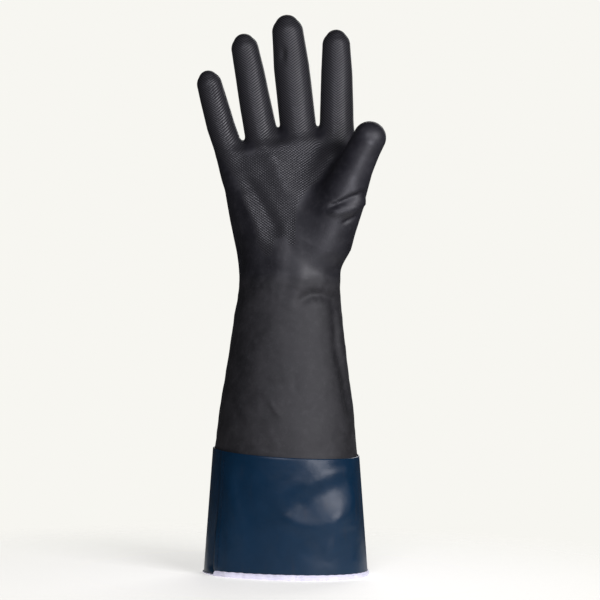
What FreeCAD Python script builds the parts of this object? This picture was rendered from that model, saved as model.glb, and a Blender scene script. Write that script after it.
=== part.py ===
"""Right-hand insulated rubber gauntlet glove for very cold work, standing on its cuff with the fingers up.

Millimetres. Origin at the centre of the cuff mouth, +Z up to the fingertips, the palm faces -Y, the thumb
is on the +X side. A moulded rubber shell carries a felt insulation and a knitted lining. Each skin is one
piece in life and is divided here at its bends: wrist, finger bases and mid fingers, and thumb. A cuff of
coated cloth is bonded round the sleeve's end and closed by a lap; its hem is bound with a folded tape.
"""
import FreeCAD, Part
import math
import os

V = FreeCAD.Vector

# ---- driving dimensions ----
RUBBER, FELT, KNIT = 1.5, 1.6, 0.6           # wall layers, outside to inside
SHEET, BACKING, BOND = 0.7, 0.5, 0.3         # coated face, cotton backing and adhesive of the cuff
TAPE = 0.6                                   # hem tape thickness
TAPE_HEIGHT = 4.6
SLEEVE_BOTTOM = 75.0                         # rubber sleeve ends here, inside the cuff
BOND_LOW, BOND_HIGH = 78.0, 94.0
CUFF_TOP = (99.4, -0.0373, 0.056)            # cuff top edge: z = c0 + c1 x + c2 y
LAP_TOP, LAP_BOTTOM = (-54.2, 86.0), (-56.6, 0.0)   # (x, z) ends of the visible lap edge, on the palm side
LAP_WIDTH = 14.0
THREAD = 0.4

# Bends: (least, most) turn in degrees that the gap between two rigid lengths leaves room for
WRIST_TURN, BASE_TURN, MID_TURN = (35, 40), (10, 60), (0, 65)
THUMB_BASE_TURN, THUMB_MID_TURN = (10, 30), (0, 40)
SPARE_TURN = 4.0                             # extra half opening, degrees
HALF_GAP = 0.4                               # half the gap left at the pivot line
PIVOT_SHIFT = 2.5                            # pivots lie this far to the palm side of a digit's axis
WRIST_Z = 245.0
WRIST_X = -1.9

# Sleeve and palm: (left x, left z, right x, right z, half depth, roundness); roundness 2 is an ellipse
SLEEVE = [
    (-61.5, 75.0, 58.6, 75.0, 42.45, 2.0),
    (-60.15, 100.0, 56.3, 100.0, 41.8, 2.0),
    (-46.7, 207.0, 42.5, 207.0, 31.5, 2.0),
    (-42.9, 242.0, 39.0, 242.0, 29.0, 2.0),
    (-44.6, 257.0, 40.0, 257.0, 28.5, 2.2),
    (-49.8, 280.0, 43.5, 282.0, 26.5, 2.4),
    (-56.3, 310.0, 46.5, 316.0, 23.0, 2.6),
    (-63.0, 336.0, 47.3, 350.0, 18.0, 2.8),
    (-64.0, 342.0, 46.0, 361.0, 16.0, 2.8),
]

# Digits: (x, y, z, radius) at the root inside the palm, the base pivot, the mid pivot and the tip's centre
DIGITS = {
    "little": [
        (-47.0, 0, 326, 12.0), (-60.6, -0.6, 364.5, 11.5),
        (-67.1, -3.2, 386.5, 10.8), (-70.5, -7.4, 398.6, 10.2),
    ],
    "ring": [
        (-23.0, 0, 338, 14.0), (-32.2, -0.8, 380.5, 12.9),
        (-38.1, -4.2, 409.5, 12.0), (-42.1, -9.0, 427.9, 11.1),
    ],
    "middle": [
        (6.0, 0, 338, 15.0), (0.5, -0.8, 381.5, 14.7),
        (-3.8, -4.5, 413.5, 14.5), (-7.6, -11.5, 442.0, 12.7),
    ],
    "index": [
        (34.3, 0, 338, 14.5), (33.8, -0.8, 381.0, 13.6),
        (33.1, -4.2, 410.5, 12.7), (32.2, -9.4, 432.5, 11.3),
    ],
    "thumb": [
        (38.0, -22.0, 306, 20.0), (48.6, -36.7, 330.5, 14.9),
        (55.5, -46.7, 345.8, 13.0), (59.0, -52.0, 353.5, 12.3),
    ],
}
THENAR = (25.0, -8.0, 273.0, 23.8)           # the ball of the thumb, joined to the thumb's root
# The webs between the fingers, each a short rod across the top of the palm
WEBS = [
    [(-49.0, 0, 341.0, 9.2), (-31.0, 0, 341.0, 9.0)],
    [(-24.0, 0, 355.0, 9.0), (-4.0, 0, 355.0, 9.2)],
    [(9.0, 0, 355.0, 9.2), (30.0, 0, 355.0, 9.0)],
]
PALM_SIDE = {"thumb": V(-1, -0.15, 0)}       # the way a digit's tip turns; the fingers turn to -Y

LEVELS = [0, RUBBER, RUBBER + FELT, RUBBER + FELT + KNIT]
LAYERS = ["shell", "insulation", "lining"]
WALL = SHEET + BACKING                       # the cuff's cloth
RING_POINTS = 32                             # points that each oval's curve passes through
OVERRUN = 3.0                                # a cutting solid runs on this far past what it cuts
CLEAR = 0.2                                  # the lap margin ends this far above the tape
HEM_STITCHES = 80
STITCH_LENGTH = 2.8
HEM_STITCH_HEIGHT = 3.2
LAP_STITCH_PITCH = 4.0
LAP_STITCH_INSET = 3.0                       # from the lap's free edge
LAP_STITCH_LOW, LAP_STITCH_HIGH = 6.8, 94.0
THREAD_GAP = 0.05                            # a stitch lies this far off the cloth


# ---- plain shapes ----
def ring_wire(left, left_z, right, right_z, half_depth, roundness, inset=0.0):
    """A closed oval whose long axis runs from its left end to its right end, inset from its outside."""
    centre = V((left + right) / 2, 0, (left_z + right_z) / 2)
    along = V(right - left, 0, right_z - left_z)
    half = along.Length / 2 - inset
    along.normalize()
    depth = half_depth - inset
    points = []
    for step in range(RING_POINTS):
        angle = 2 * math.pi * step / RING_POINTS
        c, s = math.cos(angle), math.sin(angle)
        x = half * math.copysign(abs(c) ** (2 / roundness), c)
        y = depth * math.copysign(abs(s) ** (2 / roundness), s)
        points.append(centre + along * x + V(0, y, 0))
    curve = Part.BSplineCurve()
    curve.interpolate(Points=points, PeriodicFlag=True)
    return Part.Wire([curve.toShape()])


def sleeve(inset, reach=0.0):
    """The sleeve and palm as one solid; its top drops by the inset, its bottom runs on by the reach."""
    wires = []
    for left, left_z, right, right_z, depth, roundness in SLEEVE:
        wires.append([left, left_z, right, right_z, depth, roundness])
    wires[-1][1] -= inset
    wires[-1][3] -= inset
    if reach:
        wires.insert(0, oval_at(SLEEVE_BOTTOM - reach, -WALL - BOND))
    return Part.makeLoft([ring_wire(*row, inset) for row in wires], True, True)


def oval_at(z, grow):
    """Row of ring_wire for the cuff's outside at a height, grown outwards."""
    centre, half_width, half_depth = -0.0193 * z, 67.1 - 0.0735 * z, 46.0 - 0.0265 * z
    return [centre - half_width - grow, z, centre + half_width + grow, z, half_depth + grow, 2.0]


def round_cone(a, b, inset):
    """Two spheres and the cone between them, drawn inset from the outside."""
    start, end = V(*a[:3]), V(*b[:3])
    r1, r2 = a[3] - inset, b[3] - inset
    way = end - start
    cone = Part.makeCone(r1, r2, way.Length, start, way)
    return Part.makeSphere(r1, start).fuse([cone, Part.makeSphere(r2, end)])


def rod(points, inset):
    """Round cones along a list of points, as one solid."""
    shapes = [round_cone(a, b, inset) for a, b in zip(points, points[1:])]
    if len(shapes) > 1:
        return shapes[0].fuse(shapes[1:]).removeSplitter()
    return shapes[0].removeSplitter()


# ---- bends ----
def hinge(name, which):
    """(pivot, hinge axis, way along the digit, way to the palm side, half width) of a base or mid bend."""
    root, base, mid, tip = DIGITS[name]
    here, before, after = (base, root, mid) if which == "base" else (mid, base, tip)
    along = (V(*after[:3]) - V(*before[:3])).normalize()
    hint = PALM_SIDE.get(name, V(0, -1, 0))
    palm = (hint - along * hint.dot(along)).normalize()
    return V(*here[:3]) + palm * PIVOT_SHIFT, along.cross(palm), along, palm, here[3] + 1.3


def bow_tie(pivot, axis, along, palm, half_width, back_turn, palm_turn, reach):
    """The space that a bend needs: a wedge on the palm side, one on the back, and a slit at the pivot."""
    front = HALF_GAP + reach * math.tan(math.radians(palm_turn / 2 + SPARE_TURN))
    back = HALF_GAP + reach * math.tan(math.radians(back_turn / 2 + SPARE_TURN))
    outline = [
        (HALF_GAP, 0), (front, reach), (-front, reach),
        (-HALF_GAP, 0), (-back, -reach), (back, -reach),
    ]
    points = [pivot + along * s + palm * n - axis * half_width for s, n in outline]
    face = Part.Face(Part.makePolygon(points + points[:1]))
    return face.extrude(axis * (2 * half_width))


def digit_bend(name, which):
    turns = {"base": BASE_TURN, "mid": MID_TURN}
    if name == "thumb":
        turns = {"base": THUMB_BASE_TURN, "mid": THUMB_MID_TURN}
    pivot, axis, along, palm, half_width = hinge(name, which)
    return bow_tie(pivot, axis, along, palm, half_width, *turns[which], 2 * half_width)


def wrist_bend():
    pivot = V(WRIST_X, 0, WRIST_Z)
    return bow_tie(pivot, V(1, 0, 0), V(0, 0, 1), V(0, -1, 0), 60, *WRIST_TURN, 45)


# ---- the hand ----
def hand(inset, reach=0.0):
    """Sleeve, palm, ball of the thumb and the roots of the digits, inset from the outside."""
    solid = sleeve(inset, reach)
    for name, points in DIGITS.items():
        start = [THENAR] if name == "thumb" else []
        solid = solid.fuse(rod(start + points[:2], inset))
    for web in WEBS:
        solid = solid.fuse(rod(web, inset))
    return solid.removeSplitter()


def build_hand(nodes):
    hands = [hand(level, OVERRUN if level else 0.0) for level in LEVELS]
    bends = {name: digit_bend(name, "base") for name in DIGITS}
    wrist = wrist_bend()
    for layer, outer, inner in zip(LAYERS, hands, hands[1:]):
        skin = outer.cut(inner)
        if layer != "shell":
            skin = skin.common(Part.makeBox(200, 200, 400, V(-100, -100, SLEEVE_BOTTOM)))
        rigid = biggest_pair(skin.cut([wrist] + list(bends.values())))
        nodes[f"gauntlet_{layer}"], nodes[f"palm_{layer}"] = rigid
        if layer == "shell":
            nodes["wrist_bend"] = skin.common(wrist)


def biggest_pair(shape):
    """The two largest solids, the lower one first."""
    pair = sorted(shape.Solids, key=lambda s: s.Volume)[-2:]
    return sorted(pair, key=lambda s: s.CenterOfMass.z)


def build_digit(name, nodes):
    """Two rigid lengths of each layer, past the base and mid bends, and the rubber of both bends."""
    points = DIGITS[name]
    rods = [rod(points, level) for level in LEVELS]
    base, mid = digit_bend(name, "base"), digit_bend(name, "mid")
    for layer, outer, inner in zip(LAYERS, rods, rods[1:]):
        skin = outer.cut(inner)
        lengths = skin.cut([base, mid]).Solids
        along = V(*points[3][:3]) - V(*points[0][:3])
        lengths.sort(key=lambda s: s.CenterOfMass.dot(along))
        nodes[f"{name}_proximal_{layer}"], nodes[f"{name}_tip_{layer}"] = lengths[-2:]
        if layer == "shell":
            nodes[f"{name}_base_bend"] = skin.common(base)
            nodes[f"{name}_mid_bend"] = skin.common(mid)


# ---- the cuff ----
def oval_solid(grow, low, high):
    return Part.makeLoft([ring_wire(*oval_at(z, grow)) for z in (low, high)], True, True)


def cuff_tube(outside, inside, low, high):
    """A sleeve of cloth between two growths of the cuff's outside, from one height to another."""
    return oval_solid(outside, low, high).cut(oval_solid(inside, low - OVERRUN, high + OVERRUN))


def above_cuff():
    """Everything above the cuff's top edge."""
    c0, c1, c2 = CUFF_TOP
    corners = [(-90, -90), (90, -90), (90, 90), (-90, 90)]
    points = [V(x, y, c0 + c1 * x + c2 * y) for x, y in corners]
    return Part.Face(Part.makePolygon(points + points[:1])).extrude(V(0, 0, 60))


def lap_x(z):
    (x1, z1), (x0, z0) = LAP_TOP, LAP_BOTTOM
    return x0 + (x1 - x0) * (z - z0) / (z1 - z0)


def build_cuff(nodes):
    top = above_cuff()
    high = CUFF_TOP[0] + 10
    nodes["cuff_sheet"] = cuff_tube(0, -SHEET, TAPE, high).cut(top)
    nodes["cuff_backing"] = cuff_tube(-SHEET, -WALL, TAPE, high).cut(top)
    nodes["cuff_bond_band"] = cuff_tube(-WALL, -WALL - BOND, BOND_LOW, BOND_HIGH)
    folded = cuff_tube(TAPE, -WALL - TAPE, 0, TAPE_HEIGHT)
    nodes["hem_binding"] = folded.cut(cuff_tube(0, -WALL, TAPE, TAPE_HEIGHT + OVERRUN))
    margin = cuff_tube(SHEET, 0, TAPE_HEIGHT + CLEAR, high).cut(top)
    nodes["cuff_lap_margin"] = margin.common(lap_strip(high))
    nodes["lap_stitches"] = lap_stitches()
    nodes["hem_stitches"] = hem_stitches()


def lap_strip(high):
    """A slanted block over the palm side that holds the lap margin."""
    edge = [(lap_x(0), 0), (lap_x(high), high)]
    corners = edge + [(x + LAP_WIDTH, z) for x, z in reversed(edge)]
    points = [V(x, -80, z) for x, z in corners]
    return Part.Face(Part.makePolygon(points + points[:1])).extrude(V(0, 80, 0))


def stitch(start, end, outwards):
    """One stitch lying on a surface, a hair clear of it."""
    lift = outwards * (THREAD / 2 + THREAD_GAP)
    way = end - start
    return Part.makeCylinder(THREAD / 2, way.Length, start + lift, way)


def on_cuff(x, z, grow):
    """(point on the cuff's palm side at x and z, outward direction there)."""
    left, _, right, _, depth, _ = oval_at(z, grow)
    centre, half = (left + right) / 2, (right - left) / 2
    share = (x - centre) / half
    y = -depth * math.sqrt(1 - share * share)
    return V(x, y, z), V((x - centre) / half ** 2, y / depth ** 2, 0).normalize()


def lap_stitches():
    """A row of stitches that closes the lap, a little inside its free edge."""
    shapes = []
    low = LAP_STITCH_LOW
    while low + STITCH_LENGTH < LAP_STITCH_HIGH:
        start, out = on_cuff(lap_x(low) + LAP_STITCH_INSET, low, SHEET)
        high = low + STITCH_LENGTH
        end, _ = on_cuff(lap_x(high) + LAP_STITCH_INSET, high, SHEET)
        shapes.append(stitch(start, end, out))
        low += LAP_STITCH_PITCH
    return Part.Compound(shapes)


def hem_stitches():
    """A row of stitches round the hem tape."""
    left, _, right, _, depth, _ = oval_at(HEM_STITCH_HEIGHT, TAPE)
    centre, half = (left + right) / 2, (right - left) / 2
    shapes = []
    for step in range(HEM_STITCHES):
        angle = 2 * math.pi * step / HEM_STITCHES
        at = V(centre + half * math.cos(angle), depth * math.sin(angle), HEM_STITCH_HEIGHT)
        out = V(math.cos(angle) / half, math.sin(angle) / depth, 0).normalize()
        way = V(-out.y, out.x, 0) * (STITCH_LENGTH / 2)
        shapes.append(stitch(at - way, at + way, out))
    return Part.Compound(shapes)


def main():
    nodes = {}
    build_hand(nodes)
    for name in DIGITS:
        build_digit(name, nodes)
    build_cuff(nodes)
    os.makedirs("parts", exist_ok=True)
    for name, shape in sorted(nodes.items()):
        solids = shape.Solids
        state = "ok" if all(s.isValid() and s.isClosed() for s in solids) else "NOT SOUND"
        print(f"{name}: {len(solids)} solids, {shape.Volume:.0f} mm3, {state}")
        (solids[0] if len(solids) == 1 else Part.Compound(solids)).exportStep(f"parts/{name}.step")
    for name in DIGITS:
        for which in ("base", "mid"):
            pivot, axis, _, _, _ = hinge(name, which)
            print(name, which, "pivot", pivot, "axis", axis)


main()
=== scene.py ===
"""Looks of a long insulated rubber glove with a coated-cloth cuff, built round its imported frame.

The hand is one smooth form, given by a distance function in millimetres. Its surface is meshed once, cut at
the bends into the pieces that move apart, and each layer of the wall is an offset of that same mesh. The cuff
is a lapped sheet of cloth wrapped round an oval. Lengths are millimetres until a mesh is made, in metres.
"""
import math

import bmesh
import bpy
import numpy as np
from mathutils import Matrix, Vector, noise


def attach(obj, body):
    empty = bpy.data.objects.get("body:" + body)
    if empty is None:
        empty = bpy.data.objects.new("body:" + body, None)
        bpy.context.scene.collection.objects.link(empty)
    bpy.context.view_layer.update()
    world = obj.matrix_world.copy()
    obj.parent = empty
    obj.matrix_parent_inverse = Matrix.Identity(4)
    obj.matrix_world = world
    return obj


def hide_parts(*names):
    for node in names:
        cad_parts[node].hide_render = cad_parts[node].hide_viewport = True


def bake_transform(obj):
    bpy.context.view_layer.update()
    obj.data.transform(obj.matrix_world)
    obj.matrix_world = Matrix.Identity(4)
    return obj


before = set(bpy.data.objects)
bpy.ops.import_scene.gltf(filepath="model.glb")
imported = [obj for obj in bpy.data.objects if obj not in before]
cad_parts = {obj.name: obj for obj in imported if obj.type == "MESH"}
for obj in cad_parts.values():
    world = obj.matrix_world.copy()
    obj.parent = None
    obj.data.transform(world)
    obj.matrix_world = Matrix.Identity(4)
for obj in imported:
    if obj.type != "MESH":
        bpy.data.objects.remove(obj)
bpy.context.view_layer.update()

MM = 0.001

# ---- the hand's form ----
# Sleeve and palm: (left x, left z, right x, right z, half depth, roundness); roundness 2 is an ellipse
BODY_ROWS = np.array([
    (-61.5, 75.0, 58.6, 75.0, 42.45, 2.0),
    (-60.15, 100.0, 56.3, 100.0, 41.8, 2.0),
    (-46.7, 207.0, 42.5, 207.0, 31.5, 2.0),
    (-42.9, 242.0, 39.0, 242.0, 29.0, 2.0),
    (-44.6, 257.0, 39.0, 257.0, 28.5, 2.05),
    (-49.8, 280.0, 43.5, 282.0, 26.5, 2.15),
    (-55.8, 310.0, 46.5, 316.0, 23.0, 2.25),
    (-59.4, 336.0, 47.3, 350.0, 18.2, 2.4),
    (-60.0, 342.0, 46.0, 361.0, 16.8, 2.4),
    (-59.0, 347.0, 44.0, 367.0, 14.0, 2.3),
])
# Digits: (x, y, z, radius) at the root inside the palm, the base pivot, the mid pivot and the tip's centre
DIGITS = {
    "little": np.array([(-46.4, 0, 326, 11.8), (-60.6, -0.6, 364.5, 11.5),
                        (-67.1, -3.2, 386.5, 10.8), (-70.5, -7.4, 398.6, 10.2)]),
    "ring": np.array([(-23.0, 0, 338, 14.0), (-32.2, -0.8, 380.5, 12.9),
                      (-38.1, -4.2, 409.5, 12.0), (-42.1, -9.0, 427.9, 11.1)]),
    "middle": np.array([(6.0, 0, 338, 15.0), (0.5, -0.8, 381.5, 14.7),
                        (-3.8, -4.5, 413.5, 14.5), (-7.6, -11.5, 442.0, 12.7)]),
    "index": np.array([(34.3, 0, 338, 14.5), (33.8, -0.8, 381.0, 13.6),
                       (33.1, -4.2, 410.5, 12.7), (32.2, -9.4, 432.5, 11.3)]),
    "thumb": np.array([(38.0, -22.0, 306, 20.0), (48.6, -36.7, 330.5, 14.9),
                       (55.8, -46.7, 345.8, 13.4), (59.6, -52.0, 353.5, 13.1)]),
}
FINGERS = [name for name in DIGITS if name != "thumb"]
THENAR = np.array([25.2, -7.5, 275.5, 24.0])     # the ball of the thumb, joined to the thumb's root
# What fills the corners between digits: a rod in the thumb's fold, and a web between each two fingers
THUMB_FOLD = [(14.0, -6.0, 296, 17.0), (33.0, -15.0, 334, 12.0)]
WEB_RODS = [
    [(-49.0, 0, 340.0, 9.2), (-31.0, 0, 341.0, 9.0)],
    [(-24.0, 0, 353.0, 9.0), (-4.0, 0, 353.0, 9.2)],
    [(9.0, 0, 352.4, 9.2), (30.0, 0, 352.4, 9.0)],
]
TIP_POINT = 0.8                                  # share of its radius that a finger's last ball has
SLEEVE_BOTTOM = 75.0

# How far along a digit each bend is spread: (before, after) its pivot
BASE_SPREAD = {"little": (11, 11), "ring": (13, 13), "middle": (14, 14), "index": (13.5, 13.5),
               "thumb": (5, 9)}
MID_SPREAD = {"little": (10, 10), "ring": (13, 13), "middle": (14, 14), "index": (13, 13),
              "thumb": (9, 9.5)}

# Wall layers: (depth of the layer's outer face below the glove's outside, thickness, material slot)
LAYERS = {"shell": (0.0, 1.5, "rubber_shell"), "insulation": (1.55, 1.5, "felt_insulation"),
          "lining": (3.1, 0.55, "knit_lining")}
PIECE_NAMES = {"shell": "rubber", "insulation": "felt", "lining": "knit"}
CELL = 2.0                                       # spacing of the hand's mesh before it is refined


def smooth_min(a, b, reach):
    """The lesser of two distances, rounded where they differ by less than the reach."""
    share = np.clip(1 - np.abs(a - b) / reach, 0, 1)
    return np.minimum(a, b) - share * share * reach / 4


def smooth_step(low, high, value):
    t = np.clip((value - low) / (high - low), 0, 1)
    return t * t * (3 - 2 * t)


def smooth_rows(rows, steps=8):
    """(height, centre, half width, slope, half depth, roundness) on smooth curves through the rows."""
    height = rows[:, [1, 3]].mean(axis=1)
    rate = np.gradient(rows, height, axis=0)
    found = []
    for i in range(len(rows) - 1):
        span = height[i + 1] - height[i]
        for t in np.linspace(0, 1, steps, endpoint=False):
            start = (1 + 2 * t) * (1 - t) ** 2 * rows[i] + t * (1 - t) ** 2 * span * rate[i]
            end = t * t * (3 - 2 * t) * rows[i + 1] + t * t * (t - 1) * span * rate[i + 1]
            found.append(start + end)
    found = np.array(found + [rows[-1]])
    left, left_z, right, right_z, depth, roundness = found.T
    return np.array([(left_z + right_z) / 2, (left + right) / 2, (right - left) / 2,
                     (right_z - left_z) / (right - left), depth, roundness])


BODY = smooth_rows(BODY_ROWS)


def body_distance(points):
    """Distance from the sleeve and palm, about right near their surface."""
    x, y, z = points.T
    height = z
    for _ in range(4):       # each cross-section leans, so find the one that passes through the point
        height = z - np.interp(height, BODY[0], BODY[3]) * (x - np.interp(height, BODY[0], BODY[1]))
    centre, half, _, depth, power = (np.interp(height, BODY[0], row) for row in BODY[1:])
    u = np.abs(x - centre) / half + 1e-6
    v = np.abs(y) / depth + 1e-6
    size = (u ** power + v ** power) ** (1 / power)
    steepness = np.hypot((u / size) ** (power - 1) / half, (v / size) ** (power - 1) / depth)
    side = (size - 1) / steepness
    return -smooth_min(-side, BODY[0, -1] - height, 12.0)


def rod_distance(points, rod):
    """Distance from a chain of balls joined by cones."""
    found = None
    for a, b in zip(rod, rod[1:]):
        way = b[:3] - a[:3]
        share = np.clip((points - a[:3]) @ way / (way @ way), 0, 1)
        d = np.linalg.norm(points - a[:3] - share[:, None] * way, axis=1) - a[3] - share * (b[3] - a[3])
        found = d if found is None else np.minimum(found, d)
    return found


def digit_distance(points, name):
    """Distance from one digit, whose tip is drawn out to a blunt point."""
    rod = DIGITS[name]
    if name == "thumb":
        return rod_distance(points, [THENAR, *rod])
    way = rod[3, :3] - rod[2, :3]
    way = way / np.linalg.norm(way)
    radius = rod[3, 3]
    ball = np.append(rod[3, :3] - way * radius * 0.12, radius)
    point = np.append(rod[3, :3] + way * radius * (1 - TIP_POINT), radius * TIP_POINT)
    return rod_distance(points, [*rod[:3], ball, point])


def hand_distance(points):
    """Distance from the glove's outside before its folds and grip are pressed in."""
    fingers = None
    for name in FINGERS:
        d = digit_distance(points, name)
        fingers = d if fingers is None else smooth_min(fingers, d, 3.0)
    palm = smooth_min(body_distance(points), fingers, 7.0)
    for rod in WEB_RODS:
        palm = smooth_min(palm, rod_distance(points, np.array(rod)), 5.0)
    palm = smooth_min(palm, rod_distance(points, np.array(THUMB_FOLD)), 14.0)
    reach = 12 - 5 * smooth_step(285, 320, points[:, 2])
    return smooth_min(palm, digit_distance(points, "thumb"), reach)


def hand_normal(points):
    """Unit outward directions of the hand's form."""
    step = 0.4
    slopes = []
    for axis in np.eye(3) * step:
        slopes.append(hand_distance(points + axis) - hand_distance(points - axis))
    slopes = np.stack(slopes, axis=1)
    return slopes / np.linalg.norm(slopes, axis=1)[:, None]


def onto_hand(points):
    """The points moved onto the hand's surface."""
    for _ in range(2):
        points = points - hand_normal(points) * hand_distance(points)[:, None]
    return points


# ---- meshing the hand ----
def surface_net():
    """(points, quads) of the hand's surface from a regular grid, one point in each cell that it crosses."""
    low = np.array([-88.0, -72.0, SLEEVE_BOTTOM])
    high = np.array([82.0, 50.0, 462.0])
    count = np.ceil((high - low) / CELL).astype(int) + 1
    lines = [low[i] + CELL * np.arange(count[i]) for i in range(3)]
    grid = np.stack(np.meshgrid(*lines, indexing="ij"), axis=-1).reshape(-1, 3)
    inside = (hand_distance(grid) < 0).reshape(count)
    total = sum(
        inside[i:count[0] - 1 + i, j:count[1] - 1 + j, k:count[2] - 1 + k].astype(int)
        for i in (0, 1) for j in (0, 1) for k in (0, 1)
    )
    crossed = (total > 0) & (total < 8)
    index = np.full(crossed.shape, -1)
    index[crossed] = np.arange(crossed.sum())
    points = low + CELL * (np.argwhere(crossed) + 0.5)
    quads = []
    for axis in range(3):
        one, two = (axis + 1) % 3, (axis + 2) % 3
        near = inside.take(range(count[axis] - 1), axis)
        far = inside.take(range(1, count[axis]), axis)
        edges = np.argwhere(near != far)
        inner = [(edges[:, k] > 0) & (edges[:, k] < count[k] - 1) for k in (one, two)]
        edges = edges[inner[0] & inner[1]]
        corners = []
        for i, j in ((-1, -1), (0, -1), (0, 0), (-1, 0)):
            cell = edges.copy()
            cell[:, one] += i
            cell[:, two] += j
            corners.append(index[tuple(cell.T)])
        faces = np.stack(corners, axis=1)
        outward = near[tuple(edges.T)]
        quads.append(np.where(outward[:, None], faces, faces[:, ::-1]))
    return points, np.concatenate(quads)


def relaxed(points, quads):
    """Points evened out along the surface."""
    edges = np.concatenate([quads[:, [i, (i + 1) % 4]] for i in range(4)])
    edges = np.concatenate([edges, edges[:, ::-1]])
    count = np.bincount(edges[:, 0], minlength=len(points))[:, None]
    rim = points[:, 2] < SLEEVE_BOTTOM + CELL
    for _ in range(5):
        sums = [np.bincount(edges[:, 0], points[edges[:, 1], i], len(points)) for i in range(3)]
        total = np.stack(sums, axis=1)
        moved = onto_hand(0.4 * points + 0.6 * total / count)
        moved[rim, 2] = SLEEVE_BOTTOM + 0.3
        points = moved
    return points


def bends_of(name):
    """((point, way), (point, way)) of the planes where a digit's base piece and tip piece begin."""
    root, base, mid, tip = DIGITS[name][:, :3]
    base_way = (mid - root) / np.linalg.norm(mid - root)
    mid_way = (tip - base) / np.linalg.norm(tip - base)
    return (base - base_way * BASE_SPREAD[name][0], base_way), (mid - mid_way * MID_SPREAD[name][0], mid_way)


def zones_of(points):
    """Name of the piece that each point belongs to: hand, or a digit's base or tip."""
    nearest = np.argmin([digit_distance(points, name) for name in DIGITS], axis=0)
    zones = np.full(len(points), "hand", dtype="<U16")
    for i, name in enumerate(DIGITS):
        for (point, way), part in zip(bends_of(name), ("base", "tip")):
            zones[(nearest == i) & ((points - point) @ way > 0)] = f"{name}_{part}"
    return zones


def cut_at_bends(mesh):
    """Adds a clean row of edges where each digit's pieces meet."""
    for i, name in enumerate(DIGITS):
        for point, way in bends_of(name):
            centres = np.array([face.calc_center_median() for face in mesh.faces])
            nearest = np.argmin([digit_distance(centres, other) for other in DIGITS], axis=0)
            close = (nearest == i) & (np.abs((centres - point) @ way) < 2 * CELL)
            close &= digit_distance(centres, name) < 3
            mesh.faces.ensure_lookup_table()
            faces = [mesh.faces[k] for k in np.nonzero(close)[0]]
            edges = {edge for face in faces for edge in face.edges}
            corners = {corner for face in faces for corner in face.verts}
            bmesh.ops.bisect_plane(
                mesh, geom=[*faces, *edges, *corners], dist=0.3, plane_co=point, plane_no=way)


def refine(mesh, wanted):
    """Divides the faces for which wanted(centres) is true, twice as fine each way."""
    centres = np.array([face.calc_center_median() for face in mesh.faces])
    chosen = wanted(centres)
    edges = {edge for face, use in zip(mesh.faces, chosen) if use for edge in face.edges}
    bmesh.ops.subdivide_edges(mesh, edges=list(edges), cuts=1, use_grid_fill=True)
    bmesh.ops.triangulate(mesh, faces=[face for face in mesh.faces if len(face.verts) > 4])


def arrays_of(mesh):
    """(points, faces) of a bmesh."""
    mesh.verts.index_update()
    points = np.array([corner.co for corner in mesh.verts])
    return points, [[corner.index for corner in face.verts] for face in mesh.faces]


# ---- folds, dents and grip ----
def line_distance(x, z, line):
    """(distance from a line of points, share of the way along it) in the palm's plane."""
    line = np.array(line, float)
    best, along = np.full(len(x), 1e9), np.zeros(len(x))
    spans = len(line) - 1
    for i, (a, b) in enumerate(zip(line, line[1:])):
        way = b - a
        share = np.clip(((x - a[0]) * way[0] + (z - a[1]) * way[1]) / (way @ way), 0, 1)
        d = np.hypot(x - a[0] - share * way[0], z - a[1] - share * way[1])
        closer = d < best
        best = np.where(closer, d, best)
        along = np.where(closer, (i + share) / spans, along)
    return best, along


def fold(x, z, line, width, height):
    """A rounded ridge, or with a negative height a groove, along a line, fading at its ends."""
    d, along = line_distance(x, z, line)
    fade = smooth_step(0, 0.25, along) * smooth_step(0, 0.25, 1 - along)
    return height * np.exp(-(d / width) ** 2) * (0.15 + 0.85 * fade)


def bump(x, z, centre, size, height):
    """A rounded rise, or with a negative height a hollow."""
    return height * np.exp(-((x - centre[0]) / size[0]) ** 2 - ((z - centre[1]) / size[1]) ** 2)


def pressed(x, z, marks):
    """Total height of folds, as (line of points, width, height), and bumps, as (centre, size, height)."""
    total = np.zeros(len(x))
    for where, size, height in marks:
        total += (fold if isinstance(where, list) else bump)(x, z, where, size, height)
    return total


def wander(points, size, layers=2):
    """Smooth noise from -1 to 1 with features of about the given size."""
    return np.array([noise.fractal(Vector(p) / size, 1.0, 2.0, layers) for p in points])


# The grip's edge on the palm, clockwise from the little finger's side
GRIP_EDGE = np.array([
    (-72, 352), (-66, 344), (-56, 332), (-46, 319), (-39, 300), (-31, 280), (-29, 267), (-21.5, 257),
    (-16, 261), (-14, 272), (-5.5, 274), (-3, 267), (3, 267.5), (3, 299), (13, 315), (22, 321), (30, 337),
    (46, 361), (60, 375), (60, 470), (-100, 470), (-100, 360),
])
WEBS = [(-36.3, 346.0), (-9.6, 359.0), (20.7, 359.0)]      # smooth patches between the fingers
GRIP_PITCH = 2.1                                 # rows of the grip, measured up the hand
GRIP_SLOPE = 0.72                                # fall of the grip's lines
GRIP_HEIGHT = 0.12
PALM_TOP = 338.0                                 # the grip's lines start to follow the fingers here


def inside_edge(x, z, edge):
    """Distance inside a closed outline, negative outside it."""
    within = np.zeros(len(x), bool)
    for (ax, az), (bx, bz) in zip(edge, np.roll(edge, -1, axis=0)):
        crosses = (az > z) != (bz > z)
        within ^= crosses & (x < (bx - ax) * (z - az) / (bz - az + 1e-12) + ax)
    d, _ = line_distance(x, z, np.vstack([edge, edge[:1]]))
    return np.where(within, d, -d)


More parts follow.
